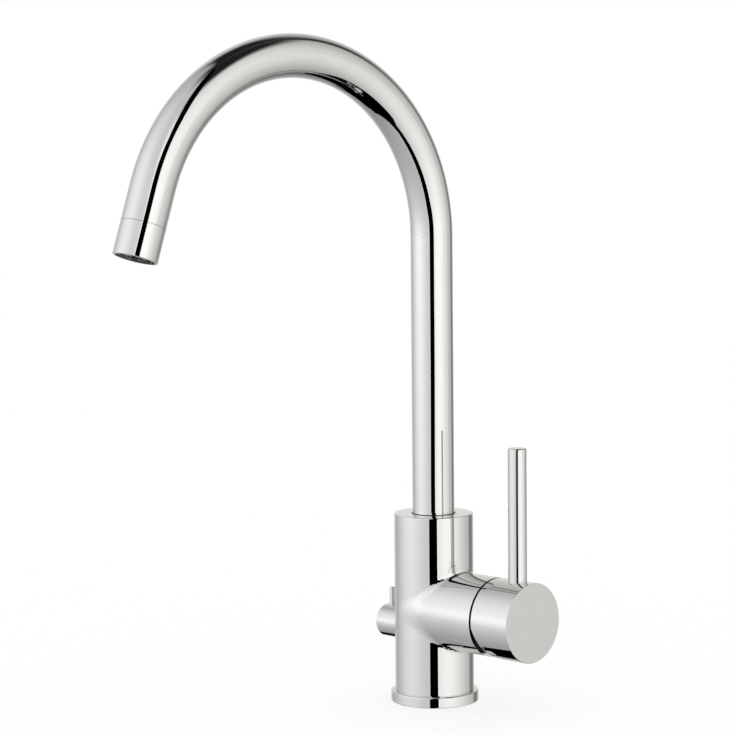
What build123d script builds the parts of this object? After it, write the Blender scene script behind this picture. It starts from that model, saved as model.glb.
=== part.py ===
from build123d import *
import os
from math import cos, radians, sin, sqrt, tan

# Three way filtered water tap, in millimetres.
# The origin is the middle of the foot, on the worktop. +Z is up the body, the mixer branch points along +X,
# the filter knob along -X, and the spout reaches over the sink towards -Y, swung a little to -X.
# Every turned piece is drawn as a half section: distance along its own axis, then radius.

# ---- clearances ----
RUN = 0.05  # radial play of a shaft that turns in its hole
SLIP = 0.1  # play of a piece that is pushed into its seat
AIR = 0.4  # visible gap between a moving piece and a fixed one

# ---- body and foot ----
body_radius = 23.6
body_top = 113.2
body_edge = 0.5  # rounding of the top edge
foot_brim = 2.6  # the foot ring stands out this far past the body
foot_height = 6.4
foot_edge = 0.9  # rounding of the foot ring's upper edge
foot_lower_edge = 0.4
foot_shoulder = 2.5  # height of the shoulder that the body stands on
foot_opening = 18.5  # radius of the opening for hoses and stud
foot_seal_inner = 20.2
foot_seal_outer = 23.0
foot_seal_depth = 1.6

# ---- water inlets in the foot ----
manifold_radius = 20.4
manifold_height = 13.5
inlet_thread_radius = 4.55  # M10 x 1, tapping size
inlet_thread_depth = 12.0
stud_thread_radius = 3.4  # M8, tapping size
stud_thread_depth = 11.0
feed_x = 6.0  # hot and cold inlets
feed_y = 8.0
feed_bore = 3.0
filter_feed_x = -4.5
filter_feed_bore = 2.4
stud_x = -14.3

# ---- mixer branch, handle and cartridge, measured from the body's axis ----
mixer_z = 56.2
branch_step = 0.25  # the branch is this much slimmer than the body
branch_end = 49.2
crotch_radius = 2.4  # blend where the branch leaves the body
cap_gap = 1.5
cap_length = 27.45
cap_edge = 0.35
cap_cavity = 9.7  # depth of the hollow that swings over the dome
tilt_range = 15.0  # degrees that the lever tilts outwards
relief_angle = tilt_range + 1.0  # slanted cut under the cap that lets it tilt
relief_corner = 16.8  # from this depth under the axis the cut turns steeper
relief_reach = 8.4  # how far it goes into the cap at the bottom
pivot_x = 41.0
rod_from_face = 11.65  # middle of the lever rod, from the cap's end face
rod_radius = 5.45
rod_top = 157.5
rod_edge = 1.0
rod_socket = 19.0  # height of the rod's seat over the mixer axis
rod_thread_radius = 3.0
rod_thread_end = 6.0
grub_radius = 2.5
stem_width = 8.0
stem_socket_depth = 12.6
seat_x = 12.0
chamber_radius = 17.6
nut_thread_radius = 18.5
nut_length = 6.6
nut_slots = 6
dome_wall = 1.4
dome_end = 14.0  # how far the dome reaches past the pivot
dome_rim = 1.5  # wall of the branch outside the dome's seat
dome_play = 0.3  # gap between the dome and the cap that swings over it
dome_seat_depth = 2.2
housing_length = 22.8
housing_wall = 2.1
housing_lid = 3.0
base_flange = 1.9
base_spigot = 2.3
base_proud = 0.3  # how far the port seals hold the cartridge off its seat
port_x = 8.0  # hot and cold ports, beside and above the mixer axis
port_z = 6.5
mixed_port_z = -8.5
port_bore = 2.6
port_seal_radius = 4.2
port_seal_depth = 0.9
peg_x = 12.5
peg_z = -4.0
peg_radius = 1.7
peg_length = 2.7
fixed_disc_radius = 14.6
fixed_disc_thickness = 4.0
moving_disc_radius = 11.6
moving_disc_thickness = 3.8
mixing_recess_radius = 8.2
mixing_recess_depth = 2.0
coupler_length = 6.25
coupler_half_width = 10.8
disc_offset = 2.15  # the moving disc starts this far below the axis
toe_reach = 11.5  # from the stem's pin to the middle of its toe
toe_radius = 2.6
shank_half = 2.2
turret_radius = 12.25
turret_top = 46.0
turret_flange = 2.9
turret_slot_low = -6.9
turret_slot_high = 7.2
pin_radius = 1.5
pin_inset = 0.45

# ---- spout ----
spout_swing = 4.06  # the spout rests this many degrees off square to the mixer branch
tube_radius = 12.5
tube_wall = 1.2
bend_start = 278.7
bend_radius = 104.4
bend_angle = 161.75
tail_length = 39.9  # straight end of the spout, with the outlet sleeve
sleeve_length = 19.0
sleeve_seam = 0.2
sleeve_mouth = 11.1
sleeve_lip = 2.6  # depth of the smooth mouth before the former's thread
sleeve_thread = 10.8
sleeve_bore = 8.6
sleeve_step = 12.5
sleeve_edge = 0.3
sleeve_spigot_radius = 10.1
sleeve_spigot_length = 7.0
nose_length = 10.0
former_mouth = 3.2  # the flow former sits this deep in the mouth
former_hole = 4.3
former_slots = 16
former_slot_circle = 7.7
former_slot_length = 4.4
former_slot_width = 1.7
washer_thickness = 1.0
washer_inner = 9.0
nozzle_mouth = 2.7
nozzle_bore = 1.8
nozzle_flange_radius = 5.4
nozzle_flange = 0.8
barb_radius = 2.75
barb_length = 8.0
hose_radius = 4.0
hose_bore = 2.8

# ---- socket of the spout in the body ----
socket_radius = 13.0
socket_depth = 35.2
thrust_thickness = 1.0
thrust_inner = 10.4
adapter_land = 0.12  # radial play of the turned end itself
adapter_length = 24.9
adapter_spigot = 8.0
adapter_chamber = 9.5
web_height = 11.0
web_holes = 6
web_hole_radius = 1.9
web_hole_circle = 7.3
guide_groove = 11.9
guide_from_floor = 2.2
guide_height = 4.2
ring_groove = 10.6
ring_groove_height = 2.6
ring_groove_heights = (8.2, 13.2)  # over the socket's floor
ring_thickness = 1.15
keeper_groove = 11.4
keeper_from_floor = 20.9
keeper_groove_height = 4.0
keeper_radius = 2.45
keeper_dog_radius = 1.6
keeper_dog = 1.5
keeper_sunk = 0.8
hex_radius = 1.45
hex_depth = 2.5
slip_ring_height = 3.2
slip_ring_sunk = 0.5
slip_ring_brim = 0.6  # lip that covers the gap, wider than the socket by this
slip_ring_lip = 0.55
nipple_socket_depth = 14.0
nipple_radius = 4.0
nipple_shank = 10.0
nipple_head_radius = 4.55
nipple_bore = 1.6
nipple_groove = 2.7
nipple_groove_height = 2.0
nipple_ring_thickness = 0.64
mixed_riser_x = 7.6
filtered_cross_rise = 2.0  # over the floor of the nipple's bore
filtered_cross_bore = 1.9

# ---- filter valve and knob, measured from the body's axis towards -X ----
filter_z = 43.4
valve_seat = 8.0
valve_chamber_radius = 7.2
valve_chamber_end = 13.0
valve_thread_radius = 8.35
knob_recess_radius = 10.15
knob_recess_floor = 21.0
knob_radius = 9.75
knob_end = 39.5
knob_edge = 0.5
knob_hollow_radius = 5.6
knob_hollow_depth = 3.6
valve_barrel_radius = 6.4
valve_bore = 5.2
valve_bore_end = 15.4
valve_neck_radius = 5.2
valve_neck_end = 24.6
valve_window = 1.8
valve_window_start = 11.2
valve_window_half = 2.5
valve_ring_start = 18.0
valve_ring_width = 2.0
valve_ring_groove = 7.1
valve_ring_thickness = 0.58
seat_seal_thickness = 1.4
seat_seal_inner = 2.9
small_disc_thickness = 1.8
small_port_radius = 1.5
small_port_offset = 2.7
tongue_depth = 0.8
tongue_half = 0.8
tongue_length = 8.0
spindle_foot = 2.25
spindle_radius = 3.0
spindle_end = 36.8
spindle_ring_start = 19.0
spindle_ring_width = 1.6
spindle_ring_groove = 2.2
spindle_ring_thickness = 0.41
pin_from_end = 4.9  # middle of the knob's upright pin, from the knob's end face
knob_pin_radius = 1.8
knob_pin_top = 64.2
knob_pin_edge = 0.5
knob_pin_socket = 8.6
knob_pin_thread = 1.3

# ---- places worked out from the sizes above ----
foot_radius = body_radius + foot_brim
branch_radius = body_radius - branch_step
dome_seat_radius = branch_radius - dome_rim
dome_radius = dome_seat_radius - 2 * SLIP
socket_floor = body_top - socket_depth
nipple_bore_floor = socket_floor - nipple_socket_depth
filtered_cross_z = nipple_bore_floor + filtered_cross_rise
manifold_top = foot_shoulder + manifold_height
cap_start = branch_end + cap_gap
cap_end = cap_start + cap_length
cap_floor = cap_start + cap_cavity
# the cut starts where the gap alone no longer lets the cap tilt
tilt = radians(tilt_range)
relief_start = ((cap_start - pivot_x) * cos(tilt) - (branch_end + AIR - pivot_x)) / sin(tilt)
relief_step = (relief_corner - relief_start) * tan(radians(relief_angle))
rod_x = cap_end - rod_from_face
cartridge_start = seat_x + base_proud
housing_start = cartridge_start + base_flange
housing_end = housing_start + housing_length
disc_start = housing_start + base_spigot
sliding_start = disc_start + fixed_disc_thickness + RUN
coupler_start = sliding_start + moving_disc_thickness
coupler_end = coupler_start + coupler_length
turret_start = coupler_end + AIR
housing_radius = chamber_radius - SLIP
housing_bore = housing_radius - housing_wall
dome_seat = branch_end - dome_seat_depth
adapter_start = socket_floor + thrust_thickness + SLIP
tube_start = adapter_start + adapter_length
tube_bore = tube_radius - tube_wall
web_top = adapter_start + web_height
keeper_z = socket_floor + keeper_from_floor
disc_a_start = valve_seat + seat_seal_thickness
disc_b_start = disc_a_start + small_disc_thickness + RUN
foot_start = disc_b_start + small_disc_thickness
knob_start = knob_recess_floor + AIR
knob_pin_x = knob_end - pin_from_end
stem_end = cap_floor + stem_socket_depth - SLIP


def section(origin, along, outwards):
    """Plane of a half section: local x runs along the piece's axis, local y is the radius."""
    return Plane(origin=origin, x_dir=along, z_dir=Vector(*along).cross(Vector(*outwards)))


def band(start, end, inner, outer, mode=Mode.ADD):
    """One step of a turned piece: a rectangle of the half section."""
    with Locations((start, inner)):
        Rectangle(end - start, outer - inner, align=(Align.MIN, Align.MIN), mode=mode)


def ring_section(middle, mean_radius, thickness):
    """Half section of a round sealing ring."""
    with Locations((middle, mean_radius)):
        Circle(thickness)


upright = section((0, 0, 0), (0, 0, 1), (-1, 0, 0))
mixer_section = section((0, 0, mixer_z), (1, 0, 0), (0, 0, 1))
mixer_axis = Axis((0, 0, mixer_z), (1, 0, 0))
filter_section = section((0, 0, filter_z), (-1, 0, 0), (0, 0, 1))
filter_axis = Axis((0, 0, filter_z), (-1, 0, 0))


def across_mixer(distance):
    """Plane square to the mixer axis: local x is +Y, local y is up."""
    return Plane(origin=(distance, 0, mixer_z), x_dir=(0, 1, 0), z_dir=(1, 0, 0))


def across_filter(distance):
    """Plane square to the filter valve's axis, seen from its knob: local y is up."""
    return Plane(origin=(-distance, 0, filter_z), x_dir=(0, -1, 0), z_dir=(-1, 0, 0))


# The spout lies in one upright plane: local x is the reach, local y is the height.
spout_azimuth = radians(-90 - spout_swing)
spout_way = (cos(spout_azimuth), sin(spout_azimuth), 0)
spout_plane = Plane(origin=(0, 0, 0), x_dir=spout_way, z_dir=(sin(spout_azimuth), -cos(spout_azimuth), 0))
turn = radians(bend_angle)
bend_end = (bend_radius * (1 - cos(turn)), bend_start + bend_radius * sin(turn))
tail_way = (sin(turn), cos(turn))


def on_tail(from_tip):
    """Point of the spout's middle line in the spout plane, measured back from the outlet."""
    run = tail_length - from_tip
    return (bend_end[0] + tail_way[0] * run, bend_end[1] + tail_way[1] * run)


def spout_line(start_height, from_tip):
    """Middle line of the swan neck: riser, bend and straight end."""
    Line((0, start_height), (0, bend_start))
    CenterArc((bend_radius, bend_start), bend_radius, 180, -bend_angle)
    Line(bend_end, on_tail(from_tip))


outlet = spout_plane.from_local_coords(on_tail(0))
inwards = (spout_plane.from_local_coords(on_tail(1)) - outlet).normalized()
sideways = spout_plane.z_dir
outlet_section = Plane(origin=outlet, x_dir=inwards, z_dir=inwards.cross(sideways))
outlet_axis = Axis(outlet, inwards)


def across_outlet(from_tip):
    """Plane square to the outlet's axis, facing up the tube."""
    return Plane(origin=outlet + inwards * from_tip, x_dir=sideways, z_dir=inwards)


# ================= body =================

with BuildPart() as body_casting:
    with BuildSketch(upright):
        band(foot_shoulder, body_top, 0, body_radius)
    revolve(axis=Axis.Z)
    with BuildSketch(across_mixer(0)):
        Circle(branch_radius)
    extrude(amount=branch_end)
    crotch = body_casting.edges().filter_by(lambda e: e.geom_type not in (GeomType.LINE, GeomType.CIRCLE))
    fillet(crotch, radius=crotch_radius)
    fillet(body_casting.edges().group_by(Axis.Z)[-1], radius=body_edge)
    # pocket of the inlet plug, socket of the spout and socket of the filter nipple
    with BuildSketch(upright):
        band(foot_shoulder, manifold_top, 0, manifold_radius + RUN)
        band(nipple_bore_floor, socket_floor, 0, nipple_radius + RUN)
        band(socket_floor, body_top, 0, socket_radius)
    revolve(axis=Axis.Z, mode=Mode.SUBTRACT)
    # cartridge chamber, thread of the ring nut and seat of the dome
    with BuildSketch(mixer_section):
        band(seat_x, housing_end - AIR, 0, chamber_radius)
        band(housing_end - AIR, dome_seat, 0, nut_thread_radius)
        band(dome_seat, branch_end, 0, dome_seat_radius)
    revolve(axis=mixer_axis, mode=Mode.SUBTRACT)
    with BuildSketch(across_mixer(seat_x)):
        with Locations((peg_x, peg_z), (-peg_x, peg_z)):
            Circle(peg_radius + SLIP)
    extrude(amount=-peg_length, mode=Mode.SUBTRACT)
    # hot and cold ways, up from the foot and across to the cartridge
    with BuildSketch(Plane.XY.offset(manifold_top)):
        with Locations((feed_x, feed_y), (feed_x, -feed_y)):
            Circle(feed_bore)
    extrude(amount=mixer_z + port_z + feed_bore - manifold_top, mode=Mode.SUBTRACT)
    with BuildSketch(across_mixer(seat_x)):
        with Locations((port_x, port_z), (-port_x, port_z), (0, mixed_port_z)):
            Circle(port_bore)
    extrude(amount=feed_x - seat_x, mode=Mode.SUBTRACT)
    # mixed water rises to the spout's socket
    with BuildSketch(Plane.XY.offset(mixer_z + mixed_port_z)):
        with Locations((mixed_riser_x, 0)):
            Circle(port_bore)
    extrude(amount=socket_floor - mixer_z - mixed_port_z, mode=Mode.SUBTRACT)
    # seat, chamber, thread and knob recess of the filter valve
    with BuildSketch(filter_section):
        band(valve_seat, valve_chamber_end, 0, valve_chamber_radius)
        band(valve_chamber_end, knob_recess_floor, 0, valve_thread_radius)
        band(knob_recess_floor, body_radius, 0, knob_recess_radius)
    revolve(axis=filter_axis, mode=Mode.SUBTRACT)
    # filtered water: in from the foot, out through the chamber, up and across to the nipple
    with BuildSketch(Plane.XY.offset(manifold_top)):
        with Locations((filter_feed_x, 0)):
            Circle(filter_feed_bore)
    extrude(amount=filter_z + filter_feed_bore - manifold_top, mode=Mode.SUBTRACT)
    with BuildSketch(across_filter(valve_seat)):
        Circle(filter_feed_bore)
    extrude(amount=-(valve_seat + filter_feed_x), mode=Mode.SUBTRACT)
    exit_x = (valve_seat + valve_chamber_end) / 2
    with BuildSketch(Plane.XY.offset(filter_z)):
        with Locations((-exit_x, 0)):
            Circle(filtered_cross_bore)
    extrude(amount=filtered_cross_z - filter_z, mode=Mode.SUBTRACT)
    with BuildSketch(Plane(origin=(-exit_x, 0, filtered_cross_z), x_dir=(0, 1, 0), z_dir=(1, 0, 0))):
        Circle(filtered_cross_bore)
    extrude(amount=exit_x, mode=Mode.SUBTRACT)
    # thread of the screw that keeps the spout, at the back
    with BuildSketch(Plane(origin=(0, 0, keeper_z), x_dir=(1, 0, 0), z_dir=(0, 1, 0))):
        Circle(keeper_radius + RUN)
    extrude(amount=body_radius, mode=Mode.SUBTRACT)

with BuildPart() as base_ring:
    with BuildSketch(upright):
        band(0, foot_height, foot_opening, foot_radius)
        band(foot_shoulder, foot_height, foot_opening, body_radius + RUN, mode=Mode.SUBTRACT)
        band(0, foot_seal_depth, foot_seal_inner, foot_seal_outer, mode=Mode.SUBTRACT)
    revolve(axis=Axis.Z)
    fillet(base_ring.edges().group_by(Axis.Z)[-1].sort_by(SortBy.RADIUS)[-1], radius=foot_edge)
    fillet(base_ring.edges().group_by(Axis.Z)[0].sort_by(SortBy.RADIUS)[-1], radius=foot_lower_edge)

with BuildPart() as base_seal:
    with BuildSketch(upright):
        band(0, foot_seal_depth, foot_seal_inner + RUN, foot_seal_outer - RUN)
    revolve(axis=Axis.Z)

manifold_ring_z = foot_shoulder + manifold_height / 2
with BuildPart() as inlet_manifold:
    with BuildSketch(upright):
        band(foot_shoulder, manifold_top, 0, manifold_radius)
        band(
            manifold_ring_z - ring_thickness,
            manifold_ring_z + ring_thickness,
            manifold_radius - 2 * ring_thickness,
            manifold_radius,
            mode=Mode.SUBTRACT,
        )
    revolve(axis=Axis.Z)
    with BuildSketch(Plane.XY.offset(foot_shoulder)):
        with Locations((feed_x, feed_y), (feed_x, -feed_y), (filter_feed_x, 0)):
            Circle(inlet_thread_radius)
    extrude(amount=inlet_thread_depth, mode=Mode.SUBTRACT)
    with BuildSketch(Plane.XY.offset(foot_shoulder)):
        with Locations((stud_x, 0)):
            Circle(stud_thread_radius)
    extrude(amount=stud_thread_depth, mode=Mode.SUBTRACT)
    with BuildSketch(Plane.XY.offset(foot_shoulder)):
        with Locations((feed_x, feed_y), (feed_x, -feed_y)):
            Circle(feed_bore)
        with Locations((filter_feed_x, 0)):
            Circle(filter_feed_bore)
    extrude(amount=manifold_height, mode=Mode.SUBTRACT)

with BuildPart() as manifold_seal:
    with BuildSketch(upright):
        ring_section(manifold_ring_z, manifold_radius + RUN / 2 - ring_thickness, ring_thickness - RUN)
    revolve(axis=Axis.Z)

with BuildPart() as spout_slip_ring:
    with BuildSketch(upright):
        band(
            body_top - slip_ring_sunk - slip_ring_height,
            body_top - slip_ring_sunk,
            tube_radius + RUN,
            socket_radius - RUN / 2,
        )
        band(body_top - slip_ring_sunk, body_top, tube_radius + RUN, socket_radius - RUN / 2)
        band(body_top, body_top + slip_ring_lip, tube_radius + RUN, socket_radius + slip_ring_brim)
    revolve(axis=Axis.Z)

with BuildPart() as spout_thrust_washer:
    with BuildSketch(upright):
        band(socket_floor, socket_floor + thrust_thickness, thrust_inner, socket_radius - SLIP)
    revolve(axis=Axis.Z)

keeper_section = section((0, 0, keeper_z), (0, 1, 0), (0, 0, 1))
keeper_out = body_radius - keeper_sunk
with BuildPart() as spout_grub_screw:
    with BuildSketch(keeper_section):
        band(socket_radius + AIR, keeper_out, 0, keeper_radius)
        band(socket_radius - keeper_dog, socket_radius + AIR, 0, keeper_dog_radius)
    revolve(axis=Axis((0, 0, keeper_z), (0, 1, 0)))
    with BuildSketch(Plane(origin=(0, keeper_out, keeper_z), x_dir=(1, 0, 0), z_dir=(0, 1, 0))):
        RegularPolygon(hex_radius, 6)
    extrude(amount=-hex_depth, mode=Mode.SUBTRACT)

# ================= spout =================

with BuildPart() as spout_tube:
    with BuildLine(spout_plane):
        spout_line(tube_start, sleeve_length + sleeve_seam)
    with BuildSketch(Plane.XY.offset(tube_start)):
        Circle(tube_radius)
        Circle(tube_bore, mode=Mode.SUBTRACT)
    sweep()

with BuildPart() as filter_tube:
    with BuildLine(spout_plane):
        spout_line(web_top + RUN, sleeve_step + SLIP)
    with BuildSketch(Plane.XY.offset(web_top + RUN)):
        Circle(hose_radius)
        Circle(hose_bore, mode=Mode.SUBTRACT)
    sweep()

with BuildPart() as spout_adapter:
    with BuildSketch(upright):
        band(adapter_start, tube_start, 0, socket_radius - adapter_land)
        band(tube_start, tube_start + adapter_spigot, 0, tube_bore - RUN)
        band(web_top, tube_start + adapter_spigot, 0, adapter_chamber, mode=Mode.SUBTRACT)
        band(adapter_start, web_top, 0, nipple_head_radius + RUN, mode=Mode.SUBTRACT)
        guide_start = socket_floor + guide_from_floor
        band(guide_start, guide_start + guide_height, guide_groove, socket_radius, mode=Mode.SUBTRACT)
        for height in ring_groove_heights:
            low = socket_floor + height
            band(low, low + ring_groove_height, ring_groove, socket_radius, mode=Mode.SUBTRACT)
        low = keeper_z - keeper_groove_height / 2
        band(low, low + keeper_groove_height, keeper_groove, socket_radius, mode=Mode.SUBTRACT)
    revolve(axis=Axis.Z)
    with BuildSketch(Plane.XY.offset(adapter_start)):
        with PolarLocations(web_hole_circle, web_holes):
            Circle(web_hole_radius)
    extrude(amount=web_height, mode=Mode.SUBTRACT)

with BuildPart() as spout_lower_bush:
    with BuildSketch(upright):
        band(guide_start + SLIP, guide_start + guide_height - SLIP, guide_groove + RUN, socket_radius - RUN)
    revolve(axis=Axis.Z)

with BuildPart() as spout_o_rings:
    with BuildSketch(upright):
        for height in ring_groove_heights:
            middle = socket_floor + height + ring_groove_height / 2
            ring_section(middle, socket_radius - RUN - ring_thickness, ring_thickness)
    revolve(axis=Axis.Z)

nipple_ring_z = adapter_start - nipple_shank / 2
with BuildPart() as filter_tube_nipple:
    with BuildSketch(upright):
        band(adapter_start - nipple_shank, adapter_start, nipple_bore, nipple_radius)
        band(adapter_start, web_top, nipple_bore, nipple_head_radius)
        band(web_top, web_top + barb_length, nipple_bore, barb_radius)
        low = nipple_ring_z - nipple_groove_height / 2
        band(low, low + nipple_groove_height, nipple_groove, nipple_radius, mode=Mode.SUBTRACT)
    revolve(axis=Axis.Z)

with BuildPart() as nipple_o_ring:
    with BuildSketch(upright):
        ring_section(nipple_ring_z, nipple_radius - nipple_ring_thickness, nipple_ring_thickness)
    revolve(axis=Axis.Z)

with BuildPart() as spout_nose_insert:
    with BuildSketch(outlet_section):
        nose_start = sleeve_length + 2 * sleeve_seam
        band(nose_start, nose_start + nose_length, sleeve_spigot_radius + RUN, tube_bore - RUN)
    revolve(axis=outlet_axis)

with BuildPart() as aerator_housing:
    with BuildSketch(outlet_section):
        band(0, sleeve_length, sleeve_mouth, tube_radius)
        band(sleeve_lip, sleeve_step, sleeve_thread, sleeve_mouth)
        band(sleeve_step, sleeve_length, sleeve_bore, sleeve_mouth)
        band(sleeve_length, sleeve_length + sleeve_spigot_length, sleeve_bore, sleeve_spigot_radius)
    revolve(axis=outlet_axis)
    rim = aerator_housing.edges().filter_by(GeomType.CIRCLE).sort_by(Axis(outlet, inwards))[:2]
    fillet(rim.sort_by(SortBy.RADIUS)[-1], radius=sleeve_edge)

former_end = sleeve_step - washer_thickness
with BuildPart() as aerator_insert:
    with BuildSketch(outlet_section):
        band(former_mouth, former_end, former_hole, sleeve_thread - RUN)
    revolve(axis=outlet_axis)
    with BuildSketch(across_outlet(former_mouth)):
        with PolarLocations(former_slot_circle, former_slots):
            SlotOverall(former_slot_length, former_slot_width)
    extrude(amount=former_end - former_mouth, mode=Mode.SUBTRACT)

with BuildPart() as aerator_seal:
    with BuildSketch(outlet_section):
        band(former_end, sleeve_step, washer_inner, sleeve_thread - RUN)
    revolve(axis=outlet_axis)

with BuildPart() as filter_nozzle:
    with BuildSketch(outlet_section):
        nozzle_step = former_end + SLIP
        band(nozzle_mouth, nozzle_step, nozzle_bore, former_hole - SLIP)
        band(nozzle_step, nozzle_step + nozzle_flange, nozzle_bore, nozzle_flange_radius)
        band(nozzle_step + nozzle_flange, sleeve_step + SLIP + barb_length, nozzle_bore, barb_radius)
    revolve(axis=outlet_axis)

# ================= mixer cartridge =================

with BuildPart() as cartridge_base:
    with BuildSketch(mixer_section):
        band(cartridge_start, housing_start, 0, housing_radius)
        band(housing_start, disc_start, 0, housing_bore - RUN)
    revolve(axis=mixer_axis)
    with BuildSketch(across_mixer(cartridge_start)):
        with Locations((peg_x, peg_z), (-peg_x, peg_z)):
            Circle(peg_radius)
    extrude(amount=SLIP - peg_length)
    with BuildSketch(across_mixer(cartridge_start)):
        with Locations((port_x, port_z), (-port_x, port_z), (0, mixed_port_z)):
            Circle(port_seal_radius + RUN)
    extrude(amount=port_seal_depth, mode=Mode.SUBTRACT)
    with BuildSketch(across_mixer(cartridge_start)):
        with Locations((port_x, port_z), (-port_x, port_z), (0, mixed_port_z)):
            Circle(port_bore)
    extrude(amount=base_flange + base_spigot, mode=Mode.SUBTRACT)

with BuildPart() as cartridge_seals:
    with BuildSketch(across_mixer(seat_x)):
        with Locations((port_x, port_z), (-port_x, port_z), (0, mixed_port_z)):
            Circle(port_seal_radius)
            Circle(port_bore, mode=Mode.SUBTRACT)
    extrude(amount=base_proud + port_seal_depth)

with BuildPart() as cartridge_housing:
    with BuildSketch(mixer_section):
        band(housing_start, housing_end, housing_bore, housing_radius)
        band(housing_end - housing_lid, housing_end, turret_radius + RUN, housing_bore)
    revolve(axis=mixer_axis)

port_circle = (port_x**2 + port_z**2) ** 0.5
with BuildPart() as fixed_ceramic_disc:
    with BuildSketch(across_mixer(disc_start)):
        Circle(fixed_disc_radius)
        for start_angle in (22, 124):
            SlotArc(CenterArc((0, 0), port_circle, start_angle, 34), 2 * shank_half, mode=Mode.SUBTRACT)
        SlotArc(CenterArc((0, 0), -mixed_port_z, 235, 70), 2 * port_bore, mode=Mode.SUBTRACT)
    extrude(amount=fixed_disc_thickness)

with BuildPart() as moving_ceramic_disc:
    with BuildSketch(across_mixer(sliding_start)):
        with Locations((0, -disc_offset)):
            Circle(moving_disc_radius)
    extrude(amount=moving_disc_thickness)
    with BuildSketch(across_mixer(sliding_start)):
        with Locations((0, -disc_offset)):
            Circle(mixing_recess_radius)
    extrude(amount=mixing_recess_depth, mode=Mode.SUBTRACT)

toe_x = pivot_x - toe_reach
with BuildPart() as disc_coupler:
    with BuildSketch(across_mixer(coupler_start)):
        with Locations((0, -disc_offset)):
            Circle(moving_disc_radius)
            Rectangle(2 * coupler_half_width, 2 * moving_disc_radius, mode=Mode.INTERSECT)
    extrude(amount=coupler_length)
    pocket_floor = toe_x - toe_radius - AIR
    with BuildSketch(across_mixer(pocket_floor)):
        Rectangle(stem_width + AIR, 2 * (toe_radius + 3 * SLIP))
    extrude(amount=coupler_end - pocket_floor, mode=Mode.SUBTRACT)

with BuildPart() as cartridge_turret:
    flange_end = turret_start + turret_flange
    with BuildSketch(mixer_section):
        band(turret_start, flange_end, 0, housing_bore - RUN)
        band(flange_end, turret_top, 0, turret_radius)
    revolve(axis=mixer_axis)
    # two guide legs beside the slide
    with BuildSketch(across_mixer(coupler_start + AIR / 2)):
        Circle(housing_bore - RUN)
        Rectangle(2 * (coupler_half_width + 2 * SLIP), 2 * housing_bore, mode=Mode.SUBTRACT)
    extrude(amount=turret_start - coupler_start - AIR / 2)
    with BuildSketch(mixer_section):
        band(turret_start, turret_top, turret_slot_low, turret_slot_high)
    extrude(amount=stem_width / 2 + 1.5 * SLIP, both=True, mode=Mode.SUBTRACT)
    with BuildSketch(mixer_section):
        with Locations((pivot_x, 0)):
            Circle(pin_radius + RUN / 2)
    extrude(amount=turret_radius, both=True, mode=Mode.SUBTRACT)

with BuildPart() as stem_pin:
    with BuildSketch(mixer_section):
        with Locations((pivot_x, 0)):
            Circle(pin_radius)
    extrude(amount=turret_radius - pin_inset, both=True)

with BuildPart() as cartridge_stem:
    with BuildSketch(mixer_section):
        shank_end = pivot_x - stem_width / 2
        with Locations((toe_x, 0)):
            Circle(toe_radius)
        band(toe_x, shank_end, -shank_half, shank_half)
        band(shank_end, stem_end, -stem_width / 2, stem_width / 2)
        with Locations((pivot_x, 0)):
            Circle(pin_radius + RUN, mode=Mode.SUBTRACT)
    extrude(amount=stem_width / 2, both=True)

with BuildPart() as cartridge_nut:
    nut_end = housing_end + nut_length
    with BuildSketch(mixer_section):
        band(housing_end, nut_end, turret_radius + AIR, nut_thread_radius - RUN)
    revolve(axis=mixer_axis)
    with BuildSketch(across_mixer(nut_end)):
        with PolarLocations(turret_radius, nut_slots):
            Rectangle(2 * shank_half, stem_width)
    extrude(amount=-nut_length / 2, mode=Mode.SUBTRACT)

with BuildPart() as dome_ring:
    skirt_outer = nut_thread_radius - RUN
    skirt_inner = skirt_outer - dome_wall
    dome_start = branch_end - 2 * SLIP
    dome_foot = sqrt((dome_radius - dome_wall) ** 2 - (dome_start - pivot_x) ** 2)
    flange_inner = min(skirt_inner, dome_foot)
    with BuildSketch(mixer_section):
        with Locations((pivot_x, 0)):
            Circle(dome_radius)
            Circle(dome_radius - dome_wall, mode=Mode.SUBTRACT)
        band(pivot_x - dome_radius, dome_start, -dome_radius, dome_radius, mode=Mode.SUBTRACT)
        band(dome_start, pivot_x + dome_radius, -dome_radius, 0, mode=Mode.SUBTRACT)
        band(pivot_x + dome_end, pivot_x + dome_radius, 0, dome_radius, mode=Mode.SUBTRACT)
        band(dome_seat, dome_start, flange_inner, dome_seat_radius - SLIP)
        band(nut_end + SLIP, dome_seat, skirt_inner, skirt_outer)
    revolve(axis=mixer_axis)

# ================= mixer handle =================

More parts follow.
